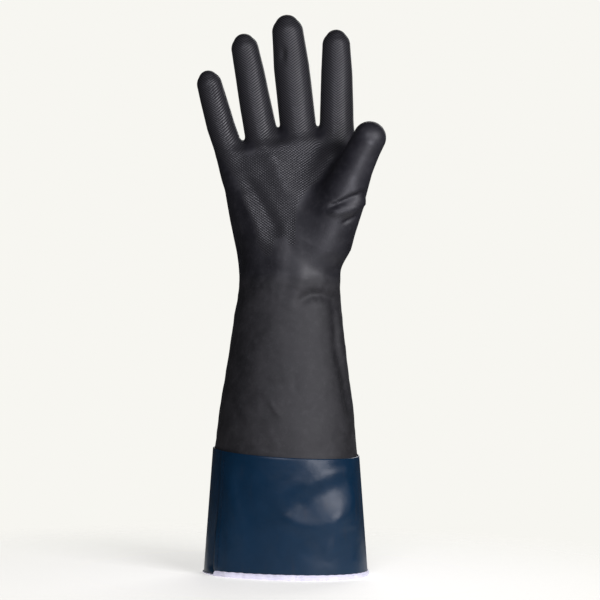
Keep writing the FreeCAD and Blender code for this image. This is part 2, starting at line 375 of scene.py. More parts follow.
def grip_cover(points, normals):
    """How much grip each point has, from 0 to 1."""
    x, _, z = points.T
    cover = smooth_step(-0.6, 1.6, inside_edge(x, z, GRIP_EDGE))
    cover *= smooth_step(0.12, 0.38, -normals[:, 1])
    cover *= 1 - smooth_step(0.75, 0.95, normals[:, 2])
    for web in WEBS:
        cover *= smooth_step(3.5, 6.5, np.hypot(x - web[0], (z - web[1]) * 0.8))
    return cover * smooth_step(1.5, 3.5, digit_distance(points, "thumb"))


def grip_place(points):
    """(way across the hand along its skin, share of the grip's lines that fall to the right)."""
    x, _, z = points.T
    across, total, lean = np.zeros(len(x)), np.zeros(len(x)), np.zeros(len(x))
    on_finger = smooth_step(PALM_TOP, PALM_TOP + 24, z)
    for name in FINGERS:
        rod = DIGITS[name]
        middle = np.interp(z, rod[:, 2], rod[:, 0])
        radius = np.interp(z, rod[:, 2], rod[:, 3])
        off = x - middle
        wrapped = radius * np.arcsin(np.clip(off / radius, -1, 1))
        foot = np.interp(PALM_TOP, rod[:, 2], rod[:, 0])
        place = foot + off + (wrapped - off) * on_finger
        start = foot - np.interp(np.minimum(z, PALM_TOP), rod[:, 2], rod[:, 0])
        weight = np.exp(-(off / 9) ** 2) + 1e-9
        across += weight * (place - start)
        lean += weight * np.tanh(off / 1.6)
        total += weight
    across /= total
    lean = on_finger * lean / total + (1 - on_finger) * np.tanh((x + 4) / 14) * 0.5
    return across, 0.5 - 0.28 * lean


def grip_height(z, across, share):
    """Raised diamonds in rows that run into chevrons down the middle of each finger."""
    falling = np.cos(2 * math.pi * (z + GRIP_SLOPE * across) / GRIP_PITCH)
    rising = np.cos(2 * math.pi * (z - GRIP_SLOPE * across) / GRIP_PITCH)
    return GRIP_HEIGHT * np.tanh(1.7 * (share * falling + (1 - share) * rising))


# Marks in the cuff's cloth, on the palm side and on the back
CUFF_MARKS = [
    ((55, 58), (36, 48), 6.0),
    ([(60, 92), (47, 91), (28, 84), (14, 77), (2, 70)], 7.0, 0.9),
    ([(64, 84), (50, 79), (32, 70), (15, 62), (2, 57)], 8.0, -1.3),
    ([(-8, 58), (-1, 51), (6, 45.5), (14, 43), (25, 44), (40, 50), (48, 62), (56, 76)], 7.0, 1.3),
    ([(40, 62), (37, 46), (35, 32), (32, 14)], 6.5, 1.1),
    ([(46, 44), (48, 30), (46, 14)], 7.0, -0.9),
    ([(-50, 84), (-43, 60), (-38, 44), (-34, 20)], 5.0, 0.7),
    ([(-42, 88), (-34, 66), (-26, 40)], 6.0, -0.6),
    ((-14, 30), (24, 26), -1.0),
    ((30, 6), (26, 14), 0.9),
]
CUFF_BACK_MARKS = [
    ([(-50, 88), (-24, 70), (6, 62), (34, 68)], 9.0, -1.8),
    ([(-56, 60), (-30, 44), (0, 30), (24, 4)], 10.0, 1.9),
    ([(54, 86), (40, 60), (34, 30), (38, 4)], 9.0, 1.7),
    ([(20, 80), (12, 50), (-14, 22)], 8.0, -1.4),
]
# Marks in the rubber's palm side
SKIN_MARKS = [
    # palm: a slanting furrow between two soft ridges, and the heel of the hand
    ([(-44, 326), (-34, 312), (-26, 299), (-16, 283), (-9, 264)], 7.0, -2.4),
    ([(-24, 348), (-14, 332), (-7, 316), (2, 298)], 9.0, 2.3),
    ([(-44, 316), (-38, 302), (-31, 285), (-24, 262)], 6.5, 1.2),
    ((-20, 274), (22, 12), 1.4),
    # wrist: a small rise, and an arched fold that runs down the sleeve on the thumb's side
    ((9, 243), (5, 10), 0.8),
    ([(6, 240), (3, 226), (-3, 212)], 5.5, 0.9),
    ([(2, 217), (9, 224), (16, 228), (25, 228.5), (33, 225), (36.5, 218), (36.5, 206)], 4.2, -2.0),
    ([(33, 228), (36, 204), (38, 187), (42, 171), (45, 157), (49, 134), (52, 108)], 3.6, -2.2),
    ([(39, 222), (41.5, 200), (44, 180), (48, 160), (52, 134), (54, 108)], 2.6, 0.9),
    # small marks left by the mould
    ([(4.5, 166), (4, 158), (5, 151), (8, 149)], 0.9, -0.35),
    ([(-16, 143), (-12, 136), (-6, 130)], 1.6, 0.5),
    ((-11.0, 421.5), (2.6, 5.0), -1.6),
]
# The fold at the foot of the thumb, the roll under it, a lesser fold and a rise
THUMB_MARKS = [
    ([(26, 298), (34, 300), (42, 303.5), (54, 309), (66, 314)], 2.4, -2.8),
    ([(26, 294), (35, 295), (46, 296.5), (56, 302), (66, 308)], 4.0, 2.4),
    ([(38, 285), (44.4, 288), (52.7, 293), (57, 299), (62, 306)], 1.8, -1.6),
    ((51, 311), (5, 4.5), 0.9),
]
# The back of the hand, its four knuckles, and the wrist's and sleeve's folds
BACK_MARKS = [
    ((-4, 300), (34, 30), 0.8),
    ((-50, 350), (8, 9), 1.0),
    ((-24, 362), (8, 9), 1.0),
    ((4, 364), (8, 9), 1.0),
    ((33, 362), (8, 9), 1.0),
    ([(-36, 250), (-12, 244), (14, 246), (36, 254)], 4.0, -1.2),
    ([(-38, 236), (-10, 231), (18, 234), (36, 240)], 5.0, 0.8),
    ([(-30, 216), (-26, 180), (-34, 140), (-40, 108)], 5.0, -1.2),
    ([(16, 210), (24, 170), (22, 130), (30, 106)], 6.0, 1.0),
]


def cuff_dent(x, y, z):
    """How far the cuff's cloth, and what is bonded to it, stands off its oval."""
    palm = smooth_step(8, 30, -y) * pressed(x, z, CUFF_MARKS)
    back = smooth_step(4, 26, y) * pressed(x, z, CUFF_BACK_MARKS)
    return (palm + back) * smooth_step(100, 86, z) ** 0.5


def skin_relief(points, normals):
    """How far the rubber stands off the hand's plain form: folds, dents and its uneven moulding."""
    x, y, z = points.T
    thumb = smooth_step(3.0, 0.5, digit_distance(points, "thumb"))
    palm = pressed(x, z, SKIN_MARKS) + thumb * pressed(x, z, THUMB_MARKS)
    # the wrist is fuller in its middle and hollow on the little finger's side
    palm += 1.3 * smooth_step(-5, 7, x) * smooth_step(224, 243, z) * smooth_step(296, 262, z)
    palm -= 2.8 * smooth_step(-3, -26, x) * smooth_step(236, 250, z) * smooth_step(300, 276, z)
    d = smooth_step(0.0, 0.35, -normals[:, 1]) * palm
    d += smooth_step(0.0, 0.35, normals[:, 1]) * pressed(x, z, BACK_MARKS)
    sleeve = smooth_step(262, 235, z)
    d += sleeve * (0.55 * wander(points, 34.0) + 0.26 * wander(points, 9.0))
    d += (1 - sleeve) * (0.35 - 0.25 * smooth_step(330, 360, z)) * wander(points, 26.0)
    d *= smooth_step(88, 104, z) * 0.999 + 0.001
    return d + smooth_step(112, 98, z) * cuff_dent(x, y, z)


# ---- making meshes and pieces ----
def add_object(name, data):
    made = bpy.data.objects.new(name, data)
    bpy.context.scene.collection.objects.link(made)
    return made


def carry(mesh, name, values):
    """Gives each point of a mesh a vector, for its material to read."""
    held = mesh.attributes.new(name, "FLOAT_VECTOR", "POINT")
    held.data.foreach_set("vector", np.asarray(values, np.float32).ravel())


def add_piece(name, points, faces, materials, slot, nodes, normals=None):
    """A mesh object from points in millimetres, that stands for the given CAD nodes."""
    mesh = bpy.data.meshes.new(name)
    mesh.from_pydata(np.asarray(points) * MM, [], faces)
    mesh.update()
    mesh.shade_smooth()
    if normals is not None:
        mesh.normals_split_custom_set_from_vertices(normals)
    carry(mesh, "rest", points)
    mesh.materials.append(materials[slot])
    piece = add_object(name, mesh)
    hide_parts(*nodes)
    return piece


def wall(outer, inner, normals, faces):
    """(points, faces, normals) of a wall between an outer face and an inner one, closed at its rim."""
    count = len(outer)
    sides = {}
    for face in faces:
        for a, b in zip(face, face[1:] + face[:1]):
            if (b, a) in sides:
                del sides[b, a]
            else:
                sides[a, b] = True
    rim = [[b, a, a + count, b + count] for a, b in sides]
    backs = [[corner + count for corner in reversed(face)] for face in faces]
    return np.vstack([outer, inner]), faces + backs + rim, np.vstack([normals, -normals])


def part_of(faces, chosen):
    """(indices of the points used, faces renumbered) for the chosen faces."""
    faces = [face for face, use in zip(faces, chosen) if use]
    used = np.unique(np.concatenate([np.array(face) for face in faces]))
    number = {int(old): new for new, old in enumerate(used)}
    return used, [[number[i] for i in face] for face in faces]


def vertex_normals(points, faces):
    mesh = bpy.data.meshes.new("scratch")
    mesh.from_pydata(points, [], faces)
    mesh.update()
    found = np.zeros(len(points) * 3)
    mesh.vertex_normals.foreach_get("vector", found)
    bpy.data.meshes.remove(mesh)
    return found.reshape(-1, 3)


def nodes_of(zone, layer):
    """The CAD nodes that one piece of a layer stands for."""
    if zone == "hand":
        nodes = [f"gauntlet_{layer}", f"palm_{layer}"]
        bend = "wrist_bend"
    else:
        digit, part = zone.split("_")
        nodes = [f"{digit}_proximal_{layer}" if part == "base" else f"{digit}_tip_{layer}"]
        bend = f"{digit}_base_bend" if part == "base" else f"{digit}_mid_bend"
    return nodes + [bend] if layer == "shell" else nodes


def bend_piece(piece, zone):
    """Bakes a piece of the hand's placement into its mesh."""
    if zone == "hand":
        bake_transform(piece)
        return
    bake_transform(piece)


def build_hand(materials):
    """The rubber, felt and knit of the hand, each in the pieces that move apart."""
    points, quads = surface_net()
    points = relaxed(points, quads)
    mesh = bmesh.new()
    corners = [mesh.verts.new(p) for p in points]
    for quad in quads:
        mesh.faces.new([corners[i] for i in quad])
    cut_at_bends(mesh)
    plain, plain_faces = arrays_of(mesh)
    plain = onto_hand(plain)
    refine(mesh, lambda centres: centres[:, 2] > 225)
    refine(mesh, lambda centres: grip_cover(centres, hand_normal(centres)) > 0.02)
    points, faces = arrays_of(mesh)
    mesh.free()
    points = onto_hand(points)
    out = hand_normal(points)
    relief = skin_relief(points, out)
    cover = grip_cover(points, out)
    across, share = grip_place(points)
    skin = points + out * (relief + cover * grip_height(points[:, 2], across, share))[:, None]
    inside = points + out * (relief - LAYERS["shell"][1])[:, None]
    grip = np.stack([across, share, cover], axis=1)
    build_layer("shell", skin, inside, faces, points, materials, grip)
    out = hand_normal(plain)
    relief = skin_relief(plain, out)
    for layer in ("insulation", "lining"):
        depth, thickness, _ = LAYERS[layer]
        outer = plain + out * (relief - depth)[:, None]
        inner = plain + out * (relief - depth - thickness)[:, None]
        build_layer(layer, outer, inner, plain_faces, plain, materials)


def build_layer(layer, outer, inner, faces, plain, materials, grip=None):
    """One layer of the hand's wall, in the pieces that move apart."""
    normals = vertex_normals(outer, faces)
    zones = zones_of(np.array([plain[face].mean(axis=0) for face in faces]))
    slot = LAYERS[layer][2]
    for zone in sorted(set(zones)):
        used, own = part_of(faces, zones == zone)
        walls, own, own_normals = wall(outer[used], inner[used], normals[used], own)
        name = f"{zone}_{PIECE_NAMES[layer]}"
        piece = add_piece(name, walls, own, materials, slot, nodes_of(zone, layer), own_normals)
        if grip is not None:
            carry(piece.data, "grip", np.vstack([grip[used], 0 * grip[used]]))
        bend_piece(piece, zone)


# ---- the cuff ----
SHEET, BACKING, BOND = 0.7, 0.5, 0.3             # coated face, cotton backing and adhesive
TAPE, TAPE_HEIGHT = 0.6, 4.6
CUFF_TOP = (99.4, -0.0373, 0.056)                # top edge: z = c0 + c1 x + c2 y
CUFF_GIRTH = 361.0
LAP_TOP, LAP_BOTTOM = (-54.2, 86.0), (-56.6, 0.0)     # (x, z) ends of the lap's free edge
LAP_WIDTH = 14.0
LAP_STITCH = 3.0                                 # how far the stitches lie from the lap's free edge
BOND_LOW, BOND_HIGH = 78.0, 94.0


def cuff_oval(z):
    """(centre, half width, half depth) of the cuff's plain oval at a height."""
    return -0.0193 * z, 67.1 - 0.0735 * z, 46.0 - 0.0265 * z


def oval_point(angle, z, out):
    """Points on the cuff at angles and heights, moved out from its plain oval, with the cloth's dents."""
    centre, half, depth = cuff_oval(z)
    c, s = np.cos(angle), np.sin(angle)
    x, y = centre + half * c, depth * s
    z = np.broadcast_to(z, x.shape)
    way = np.stack([c / half, s / depth], axis=-1)
    way /= np.linalg.norm(way, axis=-1)[..., None]
    off = out + cuff_dent(x.ravel(), y.ravel(), z.ravel()).reshape(x.shape)
    return np.stack([x + way[..., 0] * off, y + way[..., 1] * off, z], axis=-1)


def lap_angle(z, beyond=0.0):
    """Angle of the lap's free edge at a height, or of a point that far past it on the palm side."""
    (x1, z1), (x0, z0) = LAP_TOP, LAP_BOTTOM
    x = x0 + (x1 - x0) * (z - z0) / (z1 - z0) + beyond
    centre, half, _ = cuff_oval(z)
    return -np.arccos(np.clip((x - centre) / half, -1, 1))


def cuff_height(angle, share):
    """Height at a share of the way from the hem to the top edge."""
    x, y = 60 * np.cos(angle), 43 * np.sin(angle)
    top = CUFF_TOP[0] + CUFF_TOP[1] * x + CUFF_TOP[2] * y
    return TAPE + (top - TAPE) * share


def lap_lift(around, z):
    """How far out the sheet lies at a distance round from its free edge, over its own other end."""
    over = (SHEET + BACKING + 0.15) * smooth_step(LAP_WIDTH + 12, LAP_WIDTH - 2, around)
    over *= 1 - 0.5 * smooth_step(36, 66, z)
    loose = smooth_step(2.5, 8, z) * smooth_step(56, 24, z)
    gape = 1.5 * smooth_step(10, 0, around) * loose
    under = 2.0 * smooth_step(-18, 2, around - CUFF_GIRTH) * loose
    return over + gape - under


def grid_faces(rows, columns, closed=False):
    """Quads of a grid of points numbered along its columns first."""
    faces = []
    for i in range(rows - 1):
        for j in range(columns if closed else columns - 1):
            k = (j + 1) % columns
            faces.append([i * columns + j, i * columns + k, (i + 1) * columns + k, (i + 1) * columns + j])
    return faces


def thick_grid(grid, thickness, closed=False, turned=False):
    """(points, faces) of a wall whose outer face is a grid of points; turned, its faces run the other way."""
    points = grid.reshape(-1, 3)
    faces = grid_faces(*grid.shape[:2], closed=closed)
    if turned:
        faces = [face[::-1] for face in faces]
    normals = vertex_normals(points, faces)
    return wall(points, points - normals * thickness, normals, faces)[:2]


def cuff_piece(name, parts, materials, slot, *nodes):
    """A piece made of (points, faces) that moves with the sleeve."""
    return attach(add_piece(name, *parts, materials, slot, nodes), "gauntlet")


def cloth_sheet(depth, thickness, turn_over):
    """(points, faces) of the cuff's sheet at a depth below its outside, its top edge folded in or plain."""
    t, u = np.meshgrid(np.linspace(0, 1, 241), np.linspace(0, 1, 61))
    turn = t * (2 * math.pi + LAP_WIDTH / 60)
    z = cuff_height(lap_angle(50.0) + turn, u)
    angle = lap_angle(z) + turn
    lift = lap_lift(t * (CUFF_GIRTH + LAP_WIDTH), z)
    rows = [oval_point(angle, z, lift - depth)]
    if turn_over:
        # a half round and a short leg inside the backing
        radius = (SHEET + BACKING + 0.2) / 2
        for degrees in (40, 80, 120, 160, 180):
            a = math.radians(degrees)
            crown = oval_point(angle[-1:], z[-1:], lift[-1:] - depth - radius * (1 - math.cos(a)))
            crown[..., 2] += radius * math.sin(a)
            rows.append(crown)
        for drop in (1.5, 3.0, 4.5):
            rows.append(oval_point(angle[-1:], z[-1:] - drop, lift[-1:] - depth - 2 * radius))
    return thick_grid(np.concatenate(rows), thickness)


def build_cuff(materials):
    sheet = cuff_piece("cuff_cloth", cloth_sheet(0.0, SHEET, True), materials, "coated_cloth",
                       "cuff_sheet", "cuff_lap_margin")
    backing = cuff_piece("cuff_lining", cloth_sheet(SHEET + 0.02, BACKING, False), materials,
                         "cotton_backing", "cuff_backing")
    hem = build_hem(materials)
    bond = build_bond(materials)
    threads = build_stitches(materials)


HEM_START = -math.acos(-4.7 / 67.1)              # angle at which the hem tape begins
HEM_LENGTH, HEM_OVERLAP = 365.0, 11.0


def hem_lift(along):
    """How far the tape stands off the cuff's oval along its length: it ripples and rides over laps."""
    ripple = 0.16 * np.sin(along * 0.41) + 0.1 * np.sin(along * 1.13 + 1.0)
    lap_at = (lap_angle(0.0) - HEM_START) % (2 * math.pi) / (2 * math.pi) * HEM_LENGTH
    past = (along - lap_at) % HEM_LENGTH
    over_lap = smooth_step(LAP_WIDTH + 13, LAP_WIDTH - 1, past)
    over_lap = np.maximum(over_lap, smooth_step(-2.5, 0, past - HEM_LENGTH))
    over_start = smooth_step(HEM_LENGTH - 6, HEM_LENGTH, along)
    return ripple + (SHEET + BACKING + 0.25) * over_lap + 0.75 * over_start


def hem_height(along):
    """Share of the tape's width that shows: where the lap's under side ends, most of it is tucked in."""
    return 1 - 0.72 * smooth_step(258, 266, along) * smooth_step(312, 309.5, along)


def build_hem(materials):
    """The tape folded round the hem, its last stretch lying over its start."""
    along = np.linspace(0, HEM_LENGTH + HEM_OVERLAP, 360)
    angle = HEM_START + along / HEM_LENGTH * 2 * math.pi
    lift = hem_lift(along)
    inside = SHEET + BACKING
    # the fold's outline, from the outer edge down, round and up the inside: (out, height)
    outline = [(TAPE, TAPE_HEIGHT), (TAPE + 0.25, 3.6), (TAPE + 0.2, 2.4), (TAPE + 0.1, 1.3),
               (TAPE - 0.25, 0.5), (0.0, 0.12), (-inside / 2, 0.0), (-inside, 0.12),
               (-inside - TAPE + 0.25, 0.5), (-inside - TAPE - 0.1, 1.3),
               (-inside - TAPE - 0.2, 2.6), (-inside - TAPE, TAPE_HEIGHT)]
    rows = []
    for place, (out, height) in enumerate(outline):
        share = 1.0 if place < len(outline) / 2 else 0.3
        ragged = 0.12 * np.sin(along * 0.9) if height == TAPE_HEIGHT else 0
        rows.append(oval_point(angle, (height + ragged) * hem_height(along), out + share * lift))
    parts = thick_grid(np.stack(rows), 0.4, turned=True)
    return cuff_piece("hem_tape", parts, materials, "hem_tape", "hem_binding")


def build_bond(materials):
    """The adhesive between the cuff and the rubber sleeve."""
    angle = np.linspace(0, 2 * math.pi, 180, endpoint=False)
    rows = []
    for z in np.linspace(BOND_LOW, BOND_HIGH, 9):
        ragged = 0.5 * np.sin(7 * angle + z) if z in (BOND_LOW, BOND_HIGH) else 0 * angle
        rows.append(oval_point(angle, z + ragged, -SHEET - BACKING - 0.02))
    parts = thick_grid(np.stack(rows), BOND - 0.05, closed=True)
    return cuff_piece("bond_band", parts, materials, "bond_adhesive", "cuff_bond_band")


def add_stitch(points, faces, line, angle):
    """Adds one stitch at an angle round the cuff: its thread comes up out of the cloth and goes back in."""
    sides, count, radius = 6, len(line), 0.2
    first = len(points)
    out = np.array([math.cos(angle) / 67, math.sin(angle) / 46, 0])
    out = out / np.linalg.norm(out)
    for i, place in enumerate(line):
        way = line[min(i + 1, count - 1)] - line[max(i - 1, 0)]
        way = way / np.linalg.norm(way)
        across = np.cross(way, out)
        share = i / (count - 1)
        height = radius * (1.4 * math.sin(math.pi * share) ** 0.5 - 0.5)
        for k in range(sides):
            a = 2 * math.pi * k / sides
            points.append(place + out * (height + radius * math.sin(a)) + across * radius * math.cos(a))
    for i in range(count - 1):
        for k in range(sides):
            n = (k + 1) % sides
            a, b = first + i * sides, first + (i + 1) * sides
            faces.append([a + k, a + n, b + n, b + k])
    faces.append([first + k for k in reversed(range(sides))])
    faces.append([first + (count - 1) * sides + k for k in range(sides)])


def build_stitches(materials):
    """The rows of stitches along the hem tape and down the lap."""
    share = np.linspace(0, 1, 7)
    hem, lap = ([], []), ([], [])
    for step in range(80):
        along = HEM_OVERLAP + HEM_LENGTH * step / 80 + (share - 0.5) * 2.7
        if hem_height(along).min() < 1:
            continue
        angle = HEM_START + along / HEM_LENGTH * (2 * math.pi)
        line = oval_point(angle, np.full(7, 3.2), TAPE + 0.24 + hem_lift(along))
        add_stitch(*hem, line, angle[3])
    for step in range(22):
        z = 6.8 + 4.0 * step + share * 2.8
        angle = lap_angle(z, LAP_STITCH)
        line = oval_point(angle, z, lap_lift(np.full(7, LAP_STITCH), z) + 0.05)
        add_stitch(*lap, line, angle[3])
    return [cuff_piece("hem_thread", hem, materials, "sewing_thread", "hem_stitches"),
            cuff_piece("lap_thread", lap, materials, "dark_thread", "lap_stitches")]


# ---- materials ----
class Nodes:
    """A material's nodes, with short ways to make and join them."""

    def __init__(self, name, roughness, **sockets):
        self.material = bpy.data.materials.new(name)
        self.material.use_nodes = True
        self.tree = self.material.node_tree
        self.shader = self.tree.nodes["Principled BSDF"]
        self.shader.inputs["Roughness"].default_value = roughness
        for socket, value in sockets.items():
            self.shader.inputs[socket.replace("_", " ")].default_value = value

    def add(self, kind, values=(), **settings):
        node = self.tree.nodes.new("ShaderNode" + kind)
        for key, value in settings.items():
            setattr(node, key, value)
        for socket, value in dict(values).items():
            self.feed(node.inputs[socket], value)
        return node

    def feed(self, socket, value):
        if isinstance(value, bpy.types.NodeSocket):
            self.tree.links.new(value, socket)
        else:
            socket.default_value = value

    def given(self, name):
        """A value that the mesh carries: rest is where a point is at rest, in millimetres."""
        return self.add("Attribute", attribute_name=name).outputs["Vector"]

    def parts(self, vector):
        return self.add("SeparateXYZ", {"Vector": vector}).outputs

    def window(self, value, low, high):
        """From 0 at the low value to 1 at the high one."""
        values = {"Value": value, "From Min": low, "From Max": high}
        return self.add("MapRange", values).outputs["Result"]

    def noise(self, place, size, detail=3.0, roughness=0.55):
        """Noise with features of about the given size in millimetres."""
        values = {"Vector": place, "Scale": 1 / size, "Detail": detail, "Roughness": roughness}
        return self.add("TexNoise", values).outputs["Fac"]

    def ramp(self, value, *stops):
        """Colours or grey levels at places along a value."""
        node = self.add("ValToRGB", {"Fac": value})
        ramp = node.color_ramp
        while len(ramp.elements) < len(stops):
            ramp.elements.new(0.5)
        for element, (place, colour) in zip(ramp.elements, stops):
            element.position = place
            element.color = (*colour, 1) if hasattr(colour, "__len__") else (colour, colour, colour, 1)
        return node.outputs["Color"]

    def mix(self, share, a, b, mode="MIX"):
        node = self.add("Mix", data_type="RGBA", blend_type=mode)
        for socket, value in (("Factor", share), ("A", a), ("B", b)):
            chosen = [s for s in node.inputs if s.name == socket and s.enabled][0]
            if hasattr(value, "__len__") and not isinstance(value, bpy.types.NodeSocket):
                value = (*value, 1)
            self.feed(chosen, value)
        return [s for s in node.outputs if s.enabled][0]

    def math(self, kind, *values):
        node = self.add("Math", operation=kind)
        for socket, value in zip(node.inputs, values):
            self.feed(socket, value)
        return node.outputs[0]

    def bumps(self, *layers):
        """Joins heights, each (height, strength, depth in millimetres), into the shader's normal."""
        normal = None
        for height, strength, depth in layers:
            values = {"Height": height, "Strength": strength, "Distance": depth * MM}
            if normal is not None:
                values["Normal"] = normal
            normal = self.add("Bump", values).outputs["Normal"]
        self.feed(self.shader.inputs["Normal"], normal)

    def paint(self, colour=None, roughness=None):
        if colour is not None:
            self.feed(self.shader.inputs["Base Color"], colour)
        if roughness is not None:
            self.feed(self.shader.inputs["Roughness"], roughness)
        return self.material


def grip_waves(m, rest, grip):
    """The grip's height from 0 to 1, finer than the mesh can hold it."""
    turn = 2 * math.pi / GRIP_PITCH
    up = m.math("MULTIPLY", m.parts(rest)["Z"], turn)
    across = m.math("MULTIPLY", grip["X"], turn * GRIP_SLOPE)
    falling = m.math("COSINE", m.math("ADD", up, across))
    rising = m.math("COSINE", m.math("SUBTRACT", up, across))
    part = m.math("MULTIPLY", m.math("SUBTRACT", falling, rising), grip["Y"])
    wave = m.math("ADD", rising, part)
    return m.math("MULTIPLY_ADD", m.math("TANH", m.math("MULTIPLY", wave, 1.7)), 0.5, 0.5)


def rubber():
    """Moulded rubber: satin on the hand, dull and mottled on the sleeve; on the grip, a painted highlight on
    the raised tops and painted shade in the grooves.
    """
    m = Nodes("rubber", 0.45)
    rest = m.given("rest")
    grip = m.parts(m.given("grip"))
    waves = grip_waves(m, rest, grip)
    ragged = m.math("ADD", m.parts(rest)["Z"], m.math("MULTIPLY", m.noise(rest, 22.0), 5.0))
    hand = m.window(ragged, 239.0, 247.0)
    cloud = m.noise(rest, 16.0, 4.0)
    speck = m.noise(rest, 1.5, 3.0, 0.65)
    dull = m.ramp(cloud, (0.36, (0.0058, 0.0055, 0.0072)), (0.64, (0.0145, 0.0137, 0.0160)))
    satin = m.ramp(cloud, (0.3, (0.0050, 0.0048, 0.0075)), (0.7, (0.0095, 0.0092, 0.0130)))
    colour = m.mix(hand, dull, satin)
    worn = m.ramp(m.noise(rest, 5.0, 5.0, 0.65), (0.50, 0.0), (0.75, 0.5))
    colour = m.mix(m.math("MULTIPLY", worn, 0.7), colour, (0.036, 0.035, 0.039))
    # painted highlight: the grip's raised tops are painted lighter, standing in for the light they catch
    painted_tip_highlight = m.math("MULTIPLY", m.math("POWER", waves, 2.0), grip["Z"])
    colour = m.mix(m.math("MULTIPLY", painted_tip_highlight, 0.8), colour, (0.026, 0.025, 0.029))
    # painted shade: the grip's grooves are painted near black, standing in for the shade that falls in them
    groove = m.math("MULTIPLY", m.math("SUBTRACT", 1.0, waves), m.math("MULTIPLY", grip["Z"], 0.95))
    colour = m.mix(groove, colour, (0.002, 0.002, 0.003))
    rough = m.mix(hand, m.ramp(cloud, (0.3, 0.60), (0.7, 0.68)), m.ramp(cloud, (0.3, 0.48), (0.7, 0.58)))
    rough = m.mix(grip["Z"], rough, m.mix(waves, (0.98, 0.98, 0.98), (0.25, 0.25, 0.25)))
    fine = m.noise(rest, 0.5, 2.0)
    lines = m.math("MULTIPLY", m.math("SUBTRACT", waves, 0.5), grip["Z"])
    m.bumps((speck, 0.30, 0.14), (fine, 0.2, 0.05), (lines, 1.0, 0.04))
    return m.paint(colour, rough)


def felt():
    """Needled felt: pale fibres with flecks."""
    m = Nodes("felt", 0.95, Sheen_Weight=0.3)
    rest = m.given("rest")
    colour = m.ramp(m.noise(rest, 3.0, 5.0, 0.7), (0.3, (0.50, 0.46, 0.38)), (0.7, (0.70, 0.66, 0.57)))
    m.bumps((m.noise(rest, 0.8, 4.0, 0.8), 0.8, 0.5))
    return m.paint(colour)


def knit():
    """Brushed jersey knit: columns of small loops."""
    m = Nodes("knit", 0.9, Sheen_Weight=0.4)
    rest = m.given("rest")
    parts = m.parts(rest)
    turn = m.math("ARCTAN2", parts["Y"], parts["X"])
    column = m.math("SINE", m.math("MULTIPLY", turn, 220.0))
    vee = m.math("MULTIPLY", m.math("ABSOLUTE", column), 1.6)
    row = m.math("SINE", m.math("ADD", m.math("MULTIPLY", parts["Z"], 4.2), vee))
    loops = m.math("MULTIPLY", m.math("ABSOLUTE", column), m.math("ADD", row, 1.4))
    tone = m.ramp(m.noise(rest, 7.0, 3.0), (0.3, (0.60, 0.58, 0.53)), (0.7, (0.72, 0.70, 0.65)))
    colour = m.mix(m.math("MULTIPLY", loops, 0.2), m.mix(0.35, tone, (0.3, 0.28, 0.25)), tone)
    m.bumps((loops, 0.5, 0.35), (m.noise(rest, 0.5, 3.0), 0.4, 0.2))
    return m.paint(colour)


def weave(m, rest, pitch):
    """Height of a plain weave in the upright plane, wrapped round the cuff."""
    parts = m.parts(rest)
    turn = m.math("ARCTAN2", m.math("MULTIPLY", parts["Y"], 1.4), parts["X"])
    warp = m.math("SINE", m.math("MULTIPLY", turn, 57 * math.pi / pitch))
    weft = m.math("SINE", m.math("MULTIPLY", parts["Z"], math.pi / pitch))
    return m.math("ABSOLUTE", m.math("MULTIPLY", warp, weft))


def coated():
    """Cloth coated with glossy blue plastic: the weave shows faintly through, with scuffs and streaks."""
    m = Nodes("coated_cloth", 0.35, Specular_IOR_Level=0.26)
    rest = m.given("rest")
    cloud = m.noise(rest, 22.0, 4.0)
    colour = m.ramp(cloud, (0.3, (0.0011, 0.0150, 0.0370)), (0.7, (0.0026, 0.0195, 0.0470)))
    streaks = m.add("Mapping", {"Vector": rest, "Scale": (0.16, 0.16, 0.022)}).outputs[0]
    streak = m.add("TexNoise", {"Vector": streaks, "Scale": 1.0, "Detail": 3.0}).outputs["Fac"]
    colour = m.mix(m.ramp(streak, (0.60, 0.0), (0.82, 0.4)), colour, (0.020, 0.021, 0.030))
    rough = m.ramp(m.noise(rest, 9.0, 3.0), (0.15, 0.29), (0.85, 0.38))
    m.bumps((weave(m, rest, 0.9), 0.12, 0.08), (m.noise(rest, 3.5, 3.0), 0.12, 0.25),
            (m.noise(rest, 17.0, 2.0), 0.35, 1.2))
    return m.paint(colour, rough)


def cotton():
    """Plain woven cotton backing."""
    m = Nodes("cotton_backing", 0.92, Sheen_Weight=0.2)
    rest = m.given("rest")
    threads = weave(m, rest, 0.6)
    tone = m.ramp(m.noise(rest, 12.0, 4.0), (0.3, (0.40, 0.42, 0.45)), (0.7, (0.52, 0.54, 0.57)))
    colour = m.mix(m.math("MULTIPLY", threads, 0.5), m.mix(0.4, tone, (0.16, 0.17, 0.19)), tone)
    m.bumps((threads, 0.6, 0.25))
    return m.paint(colour)


def adhesive():
    """Cured adhesive, uneven and a little shiny."""
    m = Nodes("bond_adhesive", 0.4)
    rest = m.given("rest")
    colour = m.ramp(m.noise(rest, 4.0, 4.0), (0.3, (0.36, 0.30, 0.18)), (0.7, (0.52, 0.46, 0.32)))
    m.bumps((m.noise(rest, 2.0, 3.0), 0.6, 0.3))
    return m.paint(colour)


def tape():
    """White hem tape with a lavender cast, ribbed across."""
    m = Nodes("hem_tape", 0.75, Sheen_Weight=0.2)
    rest = m.given("rest")
    rib = m.math("SINE", m.math("MULTIPLY", m.parts(rest)["Z"], 7.0))
    threads = weave(m, rest, 0.55)
    tone = m.ramp(m.noise(rest, 6.0, 4.0), (0.3, (0.66, 0.64, 0.76)), (0.7, (0.82, 0.80, 0.90)))
    colour = m.mix(m.math("MULTIPLY", threads, 0.5), m.mix(0.3, tone, (0.45, 0.43, 0.56)), tone)
    m.bumps((threads, 0.5, 0.2), (rib, 0.15, 0.1))
    return m.paint(colour)


